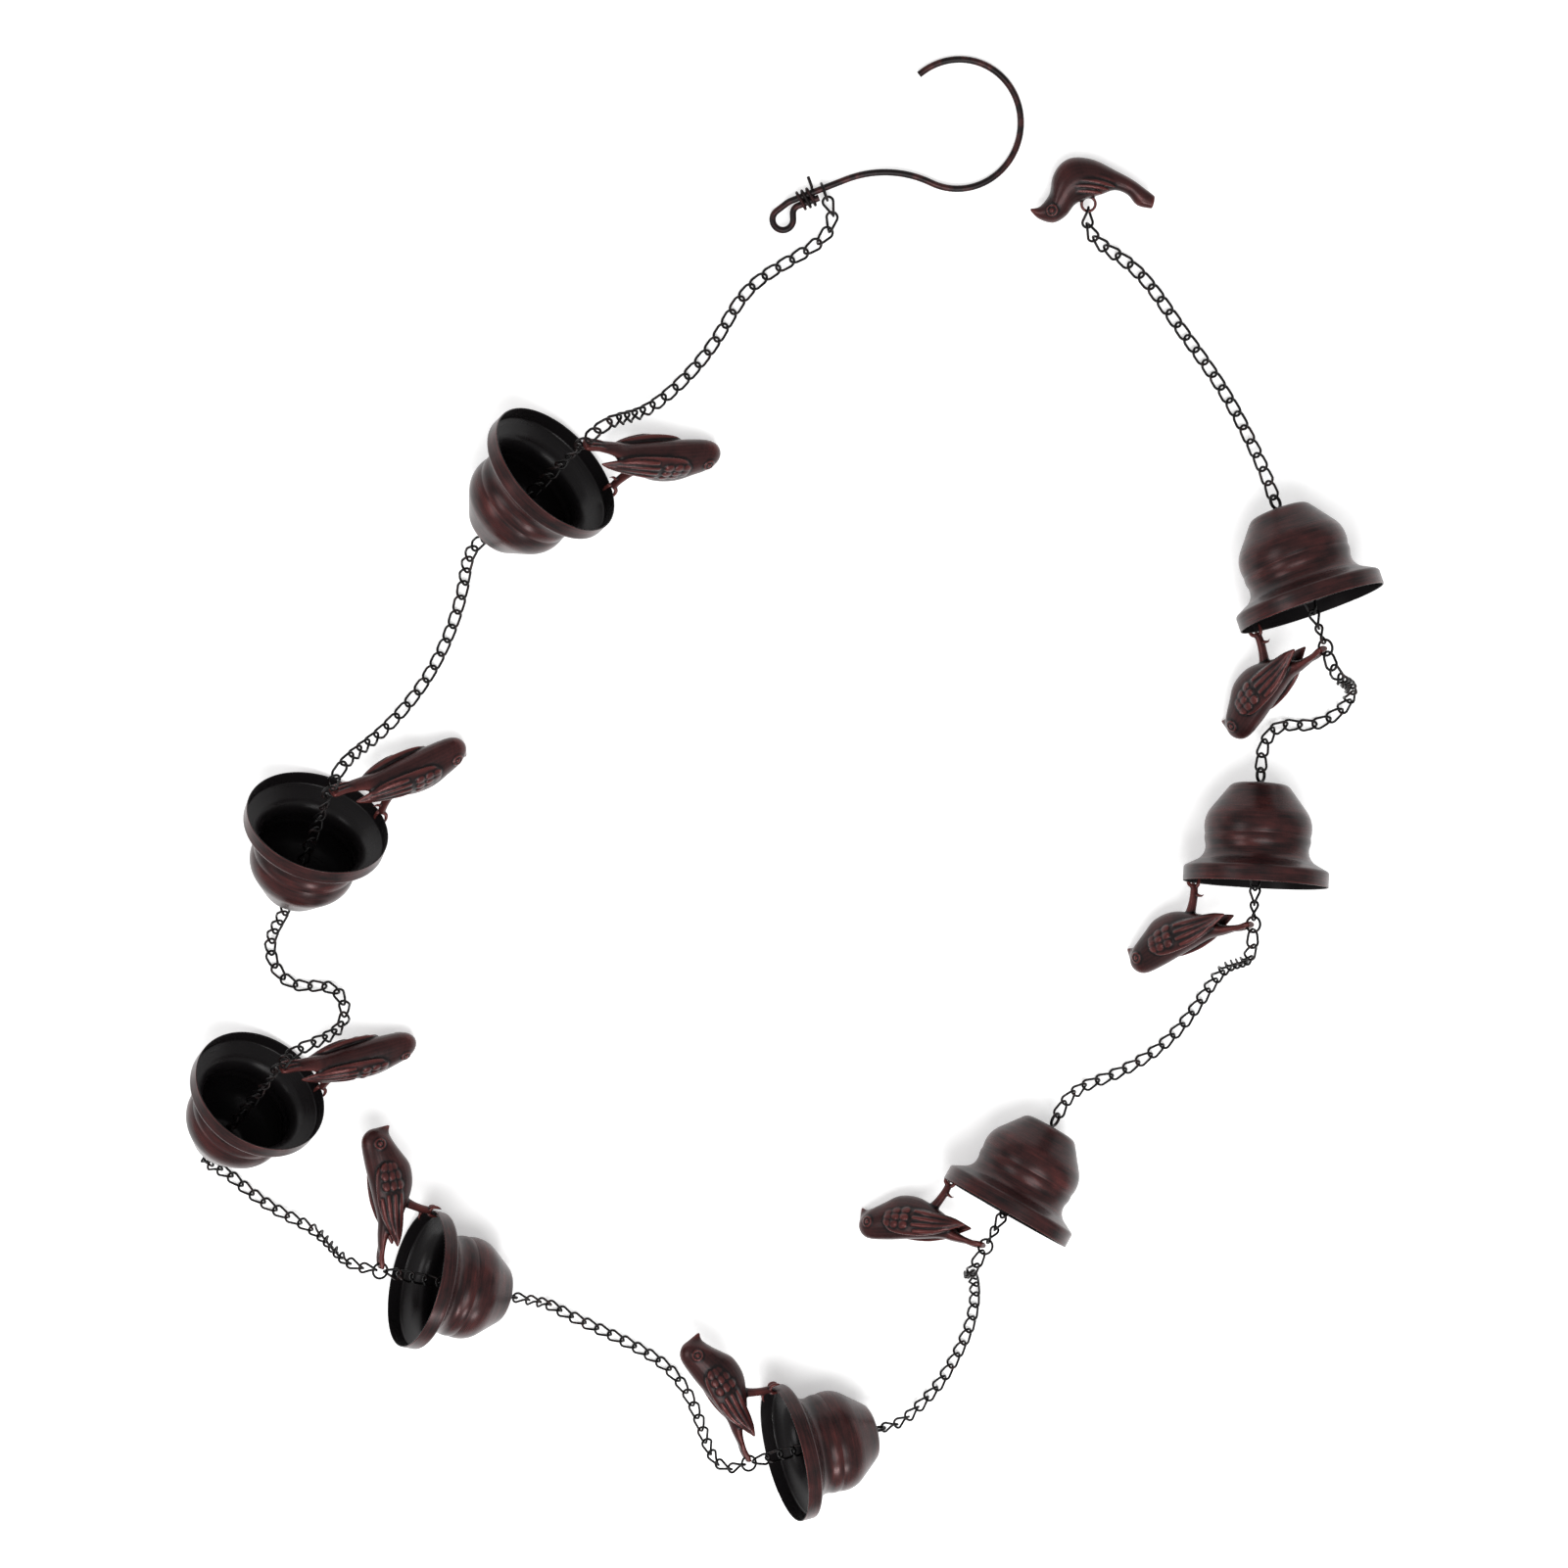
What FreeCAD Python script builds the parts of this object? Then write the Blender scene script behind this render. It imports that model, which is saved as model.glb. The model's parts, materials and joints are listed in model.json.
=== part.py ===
"""Rain chain laid out on the floor: a hook, nine runs of twisted-link chain, eight spun cups with a
perched bird on each rim, and a cast bird at the end. Millimetres, +Z up, floor at Z = 0."""

import FreeCAD
import Part
import math
import os
from FreeCAD import Matrix, Placement, Rotation, Vector

X = Vector(1, 0, 0)
Y = Vector(0, 1, 0)
Z = Vector(0, 0, 1)

# Driving sizes: alias, value in millimetres or degrees, what it measures
SIZES = (
    ("link_wire", 1.7, "wire of a chain link"),
    ("link_inside", 10.9, "clear length inside a link"),
    ("link_width", 8.3, "overall width of a link"),
    ("link_twist", 46, "turn of each link end about the link's length"),
    ("link_slack", 0.65, "free play between two links"),
    ("cup_wall", 0.9, "sheet of a cup"),
    ("cup_base_radius", 15, "flat of a cup's base"),
    ("cup_shoulder_bend", 7, "bend from the base into the side"),
    ("cup_side_slope", 53, "slope of the side above the base"),
    ("cup_belly_bend", 20, "bend of the belly"),
    ("cup_belly_radius", 35.6, "belly at its widest"),
    ("cup_belly_lean", 15, "turn of the belly past upright"),
    ("cup_crease_bend", 1.2, "bend at the bottom of the crease"),
    ("cup_crease_turn", 27, "turn of the crease"),
    ("cup_bead_bend", 11, "bend of the bead above the crease"),
    ("cup_bead_turn", 30, "turn of the bead"),
    ("cup_waist_bend", 10, "bend of the waist"),
    ("cup_flare_slope", 28, "slope of the flare under the rim"),
    ("cup_rim_bend", 2.5, "bend from the flare into the rim band"),
    ("cup_rim_radius", 48, "outside of the rim band"),
    ("cup_rim_band", 8.3, "height of the rim band"),
    ("eye_wire", 2.2, "wire of the eye pin through a cup's base"),
    ("eye_radius", 4.6, "middle of the wire in each of its two eyes"),
    ("tail_ring_radius", 5.2, "middle of the wire in the ring at a bird's tail"),
    ("tail_ring_height", 26.8, "ring at the tail above the rim"),
    ("tail_thickness", 4, "tail at the ring's hole"),
    ("tail_width", 9.5, "width of the tail at the ring's hole"),
    ("bird_reach", 51.6, "beak tip beyond the rim"),
    ("bird_rise", 43, "crown above the belly"),
    ("bird_width", 23, "width across the breast"),
    ("leg_length", 20, "belly above the rim"),
    ("leg_radius", 2.4, "leg"),
    ("toe_length", 9, "toes before and behind the leg"),
    ("end_bird_length", 79, "end bird from beak to tail tip"),
    ("end_bird_depth", 25.4, "end bird from back to breast"),
    ("end_bird_width", 22, "end bird across the breast"),
    ("loop_wire", 2, "cast loop on the end bird's back"),
    ("loop_radius", 4.4, "middle of the wire in that loop"),
    ("hook_wire", 4.2, "wire of the hook"),
    ("hook_bend", 39.5, "middle of the wire in the hook's bend"),
    ("hook_bend_turn", 245, "turn of the hook's bend"),
    ("hook_crest_bend", 70, "reverse bend between shank and hook"),
    ("hook_crest_turn", 45.6, "turn of the reverse bend"),
    ("hook_shank", 27, "straight shank from the tie to the reverse bend"),
    ("hook_eye_bend", 6.6, "middle of the wire in the hook's eye"),
    ("hook_eye_leg", 8, "straight leg of the eye"),
    ("hook_eye_droop", 44, "lean of the eye from the shank"),
    ("hook_eye_taper", 28, "taper of the eye towards its neck, each side"),
    ("hook_neck_bend", 5, "bend of the wire's end back beside the shank"),
    ("hook_throat_bend", 12, "bend from the eye into the shank"),
    ("tie_wire", 2, "wire of the tie"),
    ("tie_turns", 3, "turns of the tie"),
    ("tie_pitch", 3.4, "spacing of the turns"),
    ("tie_stub", 5, "cut end of the tie"),
    ("hook_ring_radius", 5.6, "middle of the wire in the ring on the shank"),
    ("clearance", 0.3, "gap between pieces that are seated or linked"),
)

# Where each cup lies: middle of its mouth on the floor, direction that the mouth faces, and its roll
# towards its bird as a share of the roll that brings the bird down to the floor. Seen along that
# direction, the bird is on the right.
CUPS = (
    (-145, 223, 44, 1.0),
    (-309, -12, 66, 1.0),
    (-358, -204, 53, 1.0),
    (-258, -346, 156, 0.6),
    (0, -485, 184, 0.4),
    (153, -296, 238, 1.0),
    (315, -56, 266, 1.0),
    (342, 132, 289, 1.0),
)

# Middle of the hook's tie on the floor and the shank's direction, and the loop of the end bird
HOOK_PLACE = (14, 391, 20.6)
END_BIRD_PLACE = (193, 389)

# Places on the floor that each run of chain passes, with a height where it hangs clear of the floor
ROUTES = (
    ((-19, 335), (-41, 304), (-63, 276), (-90, 256, 22)),
    ((-213, 138), (-226, 100), (-246, 66), (-271, 40, 20)),
    ((-356, -120), (-342, -144), (-315, -146), (-303, -162, 22)),
    ((-396, -287), (-368, -312), (-336, -326, 12)),
    ((-166, -392), (-125, -415), (-86, -440), (-62, -468, 26)),
    ((104, -466), (124, -434), (137, -394), (134, -358, 20)),
    ((216, -218), (252, -200), (286, -163), (303, -126, 20)),
    ((333, 42, 6), (356, 42), (375, 54, 6), (374, 76, 30)),
    ((300, 243), (280, 275), (252, 312), (218, 350)),
)

# Outline of a perched bird, from the beak to the rump: for the back and then the belly, how far out it
# is (0 at the cup's axis, 1 at the rim, 2 at the beak's tip) and its share of the rise, then of the width
BIRD = (
    (2.00, 0.635, 1.99, 0.605, 0.05),
    (1.935, 0.79, 1.89, 0.59, 0.29),
    (1.86, 0.945, 1.765, 0.44, 0.70),
    (1.70, 1.0, 1.67, 0.29, 0.87),
    (1.43, 0.86, 1.545, 0.115, 1.0),
    (1.175, 0.69, 1.31, 0.0, 1.0),
    (0.94, 0.54, 1.04, 0.0, 0.86),
    (0.70, 0.40, 0.75, 0.05, 0.66),
    (0.50, 0.345, 0.51, 0.175, 0.48),
)

# Its wing, from the shoulder to the tip: out and up as above, half height and thickness, then how far
# from the middle, as shares of the width
WING = (
    (1.56, 0.60, 0.04, 0.03, 0.40),
    (1.40, 0.54, 0.35, 0.12, 0.42),
    (1.10, 0.39, 0.43, 0.15, 0.42),
    (0.80, 0.24, 0.35, 0.13, 0.36),
    (0.57, 0.10, 0.19, 0.08, 0.30),
    (0.40, 0.02, 0.03, 0.025, 0.26),
)

# Outline of the end bird, from the beak to the tail's tip: for the back and then the breast, shares of
# its length and depth from the loop, then of the width
END_BIRD = (
    (-0.47, -0.28, -0.465, -0.24, 0.06),
    (-0.40, -0.49, -0.39, -0.19, 0.34),
    (-0.28, -0.595, -0.315, 0.115, 0.72),
    (-0.18, -0.43, -0.295, 0.52, 0.90),
    (-0.11, -0.15, -0.235, 0.84, 1.0),
    (-0.02, 0.0, -0.13, 1.0, 1.0),
    (0.095, 0.09, 0.035, 0.94, 0.86),
    (0.205, 0.20, 0.205, 0.69, 0.62),
    (0.31, 0.09, 0.345, 0.465, 0.50),
    (0.39, -0.17, 0.455, 0.23, 0.46),
    (0.51, -0.25, 0.53, 0.06, 0.34),
)


class Pen:
    """Draws lines and tangent arcs in the XY plane from a start point and a heading in degrees."""

    def __init__(self, x, y, heading):
        self.at = Vector(x, y, 0)
        self.heading = heading
        self.edges = []
        self.centres = []

    def line(self, length):
        start = self.at
        self.at = start + turned(X, Z, self.heading) * length
        self.edges.append(Part.LineSegment(start, self.at).toShape())

    def arc(self, radius, turn):
        """A left turn is positive."""
        start = self.at
        centre = start + turned(Y, Z, self.heading) * math.copysign(radius, turn)
        middle = centre + turned(start - centre, Z, turn / 2)
        self.at = centre + turned(start - centre, Z, turn)
        self.heading += turn
        self.centres.append(centre)
        self.edges.append(Part.Arc(start, middle, self.at).toShape())

    def follow(self, steps, inset=0):
        """Each step is a length, or a radius and a turn. An inset draws the parallel on the left."""
        for step in steps:
            if isinstance(step, tuple):
                radius, turn = step
                self.arc(radius - math.copysign(inset, turn), turn)
            else:
                self.line(step)


def turned(vector, axis, degrees):
    return Rotation(axis, degrees).multVec(vector)


def sine(degrees):
    return math.sin(math.radians(degrees))


def cosine(degrees):
    return math.cos(math.radians(degrees))


def make_sheet(doc):
    sheet = doc.addObject("Spreadsheet::Sheet", "Sizes")
    for row, (alias, value, note) in enumerate(SIZES, 1):
        sheet.set(f"A{row}", note)
        sheet.set(f"B{row}", str(value))
        sheet.setAlias(f"B{row}", alias)
    doc.recompute()
    return sheet


def bind(thing, **sizes):
    """Ties properties to expressions of the sheet's cells."""
    for name, expression in sizes.items():
        thing.setExpression(name, expression)


def feature(doc, name, shape):
    made = doc.addObject("Part::Feature", name)
    made.Shape = shape
    return made


def fused(doc, name, pieces):
    made = doc.addObject("Part::MultiFuse", name)
    made.Shapes = pieces
    made.Refine = False
    return made


def torus(doc, name, radius, wire, placement, sweep=None):
    made = doc.addObject("Part::Torus", name)
    bind(made, Radius1=radius, Radius2=wire)
    if sweep:
        bind(made, Angle3=sweep)
    made.Placement = placement
    return made


def swept(doc, name, edges, radius):
    """A round wire along a path of tangent edges."""
    path = feature(doc, name + "_path", Part.Wire(edges))
    start = path.Shape.OrderedEdges[0]
    circle = doc.addObject("Part::Circle", name + "_section")
    bind(circle, Radius=radius)
    heading = start.tangentAt(start.FirstParameter)
    circle.Placement = Placement(start.valueAt(start.FirstParameter), Rotation(Z, heading))
    sweep = doc.addObject("Part::Sweep", name)
    sweep.Sections = [circle]
    sweep.Spine = (path, [f"Edge{n + 1}" for n in range(len(path.Shape.Edges))])
    sweep.Solid = True
    sweep.Frenet = False
    return sweep


def make_link(doc, size):
    """One twisted link along X: two straight sides that lean opposite ways, each running into an arc at
    both ends, and the arcs meeting at the link's tips, whose wire is turned by the twist."""
    long_text = "((Sizes.link_inside + Sizes.link_wire) / 2)"
    wide_text = "((Sizes.link_width - Sizes.link_wire) / 2)"
    lean_text = f"({wide_text} * tan(Sizes.link_twist * 1deg) / {long_text})"
    stretch_text = f"sqrt(1 + {lean_text} * {lean_text})"
    tangent_text = f"({wide_text} / cos(Sizes.link_twist * 1deg))"
    turn_text = f"acos(-{lean_text} * sin(Sizes.link_twist * 1deg) / {stretch_text})"
    bend_text = f"{tangent_text} / tan({turn_text} / 2)"
    wire = "Sizes.link_wire / 2"
    reach = (size.link_inside + size.link_wire) / 2
    wide = (size.link_width - size.link_wire) / 2
    lean = wide * math.tan(math.radians(size.link_twist)) / reach
    tangent = wide / cosine(size.link_twist)
    along = Vector(1, 0, lean).normalize()
    tip = Vector(0, -cosine(size.link_twist), -sine(size.link_twist))
    inward = square_to(tip, along)
    turn = along.getAngle(tip)
    corner = Vector(reach, wide, lean * reach)
    bend_start = corner - along * tangent
    centre = bend_start + inward * (tangent / math.tan(turn / 2))
    arc_at = Placement(centre, Rotation(inward * -1, Vector(), along.cross(inward), "ZXY"))
    side_at = Placement(Vector(-bend_start.x, wide, -bend_start.z), Rotation(Z, along))
    pieces = []
    for flip in (Rotation(), Rotation(X, 180), Rotation(Y, 180), Rotation(Z, 180)):
        at = Placement(Vector(), flip).multiply(arc_at)
        pieces.append(torus(doc, "link_bend", bend_text, wire, at, turn_text))
    for flip in (Rotation(), Rotation(X, 180)):
        side = doc.addObject("Part::Cylinder", "link_side")
        bind(side, Radius=wire, Height=f"2 * ({long_text} * {stretch_text} - {tangent_text})")
        side.Placement = Placement(Vector(), flip).multiply(side_at)
        pieces.append(side)
    return fused(doc, "link_form", pieces)


def make_cup(doc, size):
    """The spun cup about Z, from the hole in its base at Z = 0 to the rim, with how it lies at rest."""
    slope = size.cup_side_slope
    flare = size.cup_flare_slope
    hole = size.eye_wire / 2 + size.clearance
    side = size.cup_belly_radius - size.cup_belly_bend * (1 - sine(slope))
    side -= size.cup_base_radius + size.cup_shoulder_bend * sine(slope)
    above_bead = 90 + size.cup_belly_lean - size.cup_crease_turn + size.cup_bead_turn
    body = [
        size.cup_base_radius - hole,
        (size.cup_shoulder_bend, slope),
        side / cosine(slope),
        (size.cup_belly_bend, 90 - slope + size.cup_belly_lean),
        (size.cup_crease_bend, -size.cup_crease_turn),
        (size.cup_bead_bend, size.cup_bead_turn),
        (size.cup_waist_bend, flare - above_bead),
    ]
    outside = Pen(hole, 0, 0)
    outside.follow(body)
    out = size.cup_rim_radius - size.cup_rim_bend * (1 - sine(flare)) - outside.at.x
    rim = [out / cosine(flare), (size.cup_rim_bend, 90 - flare), size.cup_rim_band]
    outside.follow(rim)
    inside = Pen(hole, size.cup_wall, 0)
    inside.follow(body + rim, size.cup_wall)
    lip = (outside.at + inside.at) * 0.5 + Y * (size.cup_wall / 2)
    edges = outside.edges + inside.edges
    edges.append(Part.Arc(outside.at, lip, inside.at).toShape())
    edges.append(Part.LineSegment(Vector(hole, 0, 0), Vector(hole, size.cup_wall, 0)).toShape())
    face = Part.Face(Part.Wire(Part.__sortEdges__(edges)))
    face.rotate(Vector(), X, 90)
    profile = feature(doc, "cup_profile", face)
    form = doc.addObject("Part::Revolution", "cup_form")
    form.Source = profile
    form.Axis = Z
    form.Angle = 360
    form.Solid = True
    # The floor touches the belly and the bend under the rim band, so it lies along their common tangent
    belly = outside.centres[1]
    under_rim = outside.centres[5]
    apart = under_rim - belly
    lean = math.acos((size.cup_belly_bend - size.cup_rim_bend) / apart.Length)
    form_tilt = math.degrees(lean - math.atan2(apart.y, apart.x))
    base_height = belly.x * cosine(form_tilt) - belly.y * sine(form_tilt) + size.cup_belly_bend
    return form, outside.at.y + size.cup_wall / 2, form_tilt, base_height


def make_eye(doc, size):
    """The pin through a cup's base, along Z, with an eye bent at each end in the YZ plane."""
    seat = size.clearance + size.eye_wire / 2
    wire = "Sizes.eye_wire / 2"
    upright = Rotation(Z, X).multiply(Rotation(Z, 90))
    low = Placement(Vector(0, 0, -seat - size.eye_radius), upright)
    high = Placement(Vector(0, 0, size.cup_wall + seat + size.eye_radius), upright)
    # The stem is drawn a little thinner than the eyes, as wire is where it was pulled straight
    stem = doc.addObject("Part::Cylinder", "eye_stem")
    bind(stem, Radius=wire + " * 0.9", Height="Sizes.cup_wall + 2 * Sizes.clearance + Sizes.eye_wire")
    stem.Placement.Base = Vector(0, 0, -seat)
    lower = torus(doc, "eye_low", "Sizes.eye_radius", wire, low)
    upper = torus(doc, "eye_high", "Sizes.eye_radius", wire, high)
    return fused(doc, "eye_form", [lower, stem, upper])


def oval(doc, name, middle, up, side):
    """A closed oval from its middle and its two half axes."""
    ahead = up.cross(side).normalize()
    rows = [(up[n], side[n], ahead[n], middle[n]) for n in range(3)]
    grown = Matrix(*rows[0], *rows[1], *rows[2], 0, 0, 0, 1)
    return feature(doc, name, Part.Wire(Part.makeCircle(1).transformGeometry(grown).Edges))


def lofted(doc, name, sections):
    made = doc.addObject("Part::Loft", name)
    made.Sections = [oval(doc, name + "_section", *section) for section in sections]
    made.Solid = True
    return made


def bird_sections(size):
    """Middle and half axes of the ovals of a perched bird: X out from the cup's axis, Z up from the rim."""
    rim = size.cup_rim_radius - size.cup_wall / 2

    def spot(out, share):
        beyond = max(out - 1, 0) * size.bird_reach
        return Vector(min(out, 1) * rim + beyond, 0, size.leg_length + share * size.bird_rise)

    body = []
    for back_out, back, belly_out, belly, width in BIRD:
        top = spot(back_out, back)
        bottom = spot(belly_out, belly)
        body.append(((top + bottom) * 0.5, (top - bottom) * 0.5, Y * (width * size.bird_width / 2)))
    # The tail is flat where the ring goes through it, and ends just past the hole
    thick = Z * (size.tail_thickness / 2)
    for out, lift, width in ((12, 2.4, 0.95), (size.tail_ring_radius, 0.4, 1), (1.5, 0, 0.9)):
        at = Vector(out, 0, size.tail_ring_height + lift)
        body.append((at, thick, Y * (width * size.tail_width / 2)))
    wing = []
    for out, up, height, thick_share, aside in WING:
        at = spot(out, up) + Y * (aside * size.bird_width)
        stand = Vector(-0.35, 0, 1) * (height * size.bird_width / 1.1)
        wing.append((at, stand, Y * (thick_share * size.bird_width)))
    return body, wing


def make_bird(doc, size):
    """The perched bird over the cup's rim, with one foot on the rim and a hole through its tail."""
    rim = size.cup_rim_radius - size.cup_wall / 2
    body_sections, wing_sections = bird_sections(size)
    body = lofted(doc, "bird_body", body_sections)
    wing = lofted(doc, "bird_wing", wing_sections)
    other_wing = doc.addObject("Part::Mirroring", "bird_other_wing")
    other_wing.Source = wing
    other_wing.Normal = Y
    leg = doc.addObject("Part::Cylinder", "bird_leg")
    bind(leg, Radius="Sizes.leg_radius", Height="Sizes.leg_length + Sizes.bird_rise / 5 - Sizes.clearance")
    leg.Placement.Base = Vector(rim, 0, size.clearance)
    pieces = [body, wing, other_wing, leg]
    for turn in (25, -25, 180):
        toe = doc.addObject("Part::Ellipsoid", "bird_toe")
        bind(toe, Radius1="Sizes.leg_radius * 0.7", Radius2="Sizes.toe_length / 2 + 1")
        bind(toe, Radius3="Sizes.leg_radius * 0.7")
        ahead = turned(X, Z, turn) * (size.toe_length / 2)
        at = Vector(rim, 0, size.clearance + size.leg_radius * 0.7) + ahead
        toe.Placement = Placement(at, Rotation(Z, turn))
        pieces.append(toe)
    whole = fused(doc, "bird_whole", pieces)
    # The ring curves as it goes through the tail, so the hole is wider than its wire by that curve
    half = size.tail_thickness / 2 + 0.6
    curve = size.tail_ring_radius - math.sqrt(size.tail_ring_radius**2 - half**2)
    hole = doc.addObject("Part::Cylinder", "tail_hole")
    hole.Radius = size.link_wire / 2 + size.clearance + curve / 2
    hole.Height = 8 * size.tail_thickness
    out = size.tail_ring_radius - curve / 2
    hole.Placement.Base = Vector(out, 0, size.tail_ring_height - 4 * size.tail_thickness)
    form = doc.addObject("Part::Cut", "bird_form")
    form.Base = whole
    form.Tool = hole
    return form


def make_end_bird(doc, size):
    """The arched bird at the end, its middle plane at Z = 0 and a cast loop on its back at the origin."""
    sections = []
    for back_x, back, breast_x, breast, width in END_BIRD:
        low = Vector(back_x * size.end_bird_length, back * size.end_bird_depth, 0)
        high = Vector(breast_x * size.end_bird_length, breast * size.end_bird_depth, 0)
        side = Z * (width * size.end_bird_width / 2)
        sections.append(((low + high) * 0.5, (high - low) * 0.5, side))
    body = lofted(doc, "end_bird_body", sections)
    at = Placement(Vector(0, -size.loop_radius + size.loop_wire / 2, 0), Rotation())
    loop = torus(doc, "end_bird_loop", "Sizes.loop_radius", "Sizes.loop_wire / 2", at)
    return fused(doc, "end_bird_form", [body, loop])


def make_hook(doc, size):
    """The hook in the XY plane: its tie is at the origin and its shank runs along X to the bend."""
    half = tie_half(size)
    lane = size.hook_wire + size.clearance
    into_eye = 90 + size.hook_eye_taper - (90 - size.hook_eye_droop)
    out_of_eye = size.hook_eye_droop - size.hook_eye_taper
    eye = [
        2 * half,
        (size.hook_neck_bend, into_eye),
        0.001,
        (size.hook_eye_bend, -180 - 2 * size.hook_eye_taper),
        size.hook_eye_leg,
        (size.hook_throat_bend, -out_of_eye),
    ]
    trial = Pen(half, -lane, 180)
    trial.follow(eye)
    eye[2] += trial.at.y / sine(into_eye)
    pen = Pen(half, -lane, 180)
    pen.follow(eye)
    bend = (size.hook_bend, size.hook_bend_turn)
    pen.follow([size.hook_shank - pen.at.x, (size.hook_crest_bend, -size.hook_crest_turn), bend])
    return swept(doc, "hook_form", pen.edges, "Sizes.hook_wire / 2")


def tie_half(size):
    return size.tie_turns * size.tie_pitch / 2 + size.tie_wire


def make_tie(doc, size):
    """The tie wound round the shank and the wire's end beside it, with one cut end left standing."""
    bend = size.hook_wire / 2 + size.clearance + size.tie_wire / 2
    apart = size.hook_wire + size.clearance
    across = apart + 2 * bend
    run = math.hypot(across, size.tie_pitch / 2)
    edges = []
    at = Vector(-size.tie_turns * size.tie_pitch / 2, bend, 0)
    for half_turn in range(2 * int(size.tie_turns)):
        back = -1 if half_turn % 2 == 0 else 1
        ahead = Vector(size.tie_pitch / 2, back * across, 0).normalize()
        up = Z * -back
        slant = 1 - math.sqrt(0.5)

        def spot(along, height):
            return at + ahead * along + up * height

        far = run - bend
        edges.append(Part.Arc(at, spot(bend * slant, bend * (1 - slant)), spot(bend, bend)).toShape())
        edges.append(Part.LineSegment(spot(bend, bend), spot(far, bend)).toShape())
        corner = spot(run - bend * slant, bend * (1 - slant))
        edges.append(Part.Arc(spot(far, bend), corner, spot(run, 0)).toShape())
        at = spot(run, 0)
    # The last turn ends beside the shank, and the wire is bent outwards there
    knee = size.tie_wire
    turn = at + Vector(0, knee * (1 - math.sqrt(0.5)), knee * math.sqrt(0.5))
    top = at + Vector(0, knee, knee)
    edges.append(Part.Arc(at, turn, top).toShape())
    edges.append(Part.LineSegment(top, top + Y * size.tie_stub).toShape())
    return swept(doc, "tie_form", edges, "Sizes.tie_wire / 2")


def square_to(vector, way):
    """The unit part of a vector that is square to a direction."""
    return (vector - way * vector.dot(way)).normalize()


def folded(degrees):
    """An angle between two lines that have no arrow, from -90 to 90."""
    return (degrees + 90) % 180 - 90


def roll_between(first, second, way):
    return math.degrees(math.atan2(first.cross(second).dot(way), first.dot(second)))


def chain(link, size, points, first_normal, last_normal):
    """Links laid along a smooth curve. The end links stand square to the rings that they hang on, and
    between them the chain turns to lie flat, on the floor where the curve comes down to it."""
    curve = Part.BSplineCurve()
    curve.interpolate(points)
    count = round(curve.length() / (size.link_inside - size.link_slack))
    knots = curve.discretize(Number=count + 1)
    ways = directions(knots)
    first = turned(square_to(first_normal, ways[0]), ways[0], size.link_twist)
    last = turned(square_to(last_normal, ways[-1]), ways[-1], -size.link_twist)
    first_roll = folded(roll_between(flat(ways[0]), first, ways[0]))
    last_roll = folded(roll_between(flat(ways[-1]), last, ways[-1]))
    settle = min(6, (count - 1) / 2)
    rolls = []
    for n in range(count):
        begins = max(1 - n / settle, 0)
        ends = max(1 - (count - 1 - n) / settle, 0)
        rolls.append(first_roll * begins + last_roll * ends)
        low = floor_height(link, rolls[n])
        knots[n].z = max(knots[n].z, low)
        knots[n + 1].z = max(knots[n + 1].z, low)
    links = []
    for n, way in enumerate(directions(knots)):
        middle = (knots[n] + knots[n + 1]) * 0.5
        placed = link.copy()
        placed.Placement = Placement(middle, Rotation(way, turned(flat(way), way, rolls[n]), Vector(), "XYZ"))
        links.append(placed)
    return Part.makeCompound(links)


def directions(knots):
    return [(far - near).normalize() for near, far in zip(knots, knots[1:])]


def flat(way):
    """The level direction across a link."""
    return Z.cross(way).normalize()


def floor_height(link, roll):
    """Height of the middle of a link that lies on the floor, when it is rolled so far from flat."""
    box = link.BoundBox
    return box.YMax * abs(sine(roll)) + box.ZMax * cosine(roll)


def ring_knot(centre, way, radius, wire, size):
    """Where a link meets the ring or eye that it hangs on, on the inside of the ring's wire."""
    return centre + way * (radius - wire / 2 - size.clearance / 2)


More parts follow.
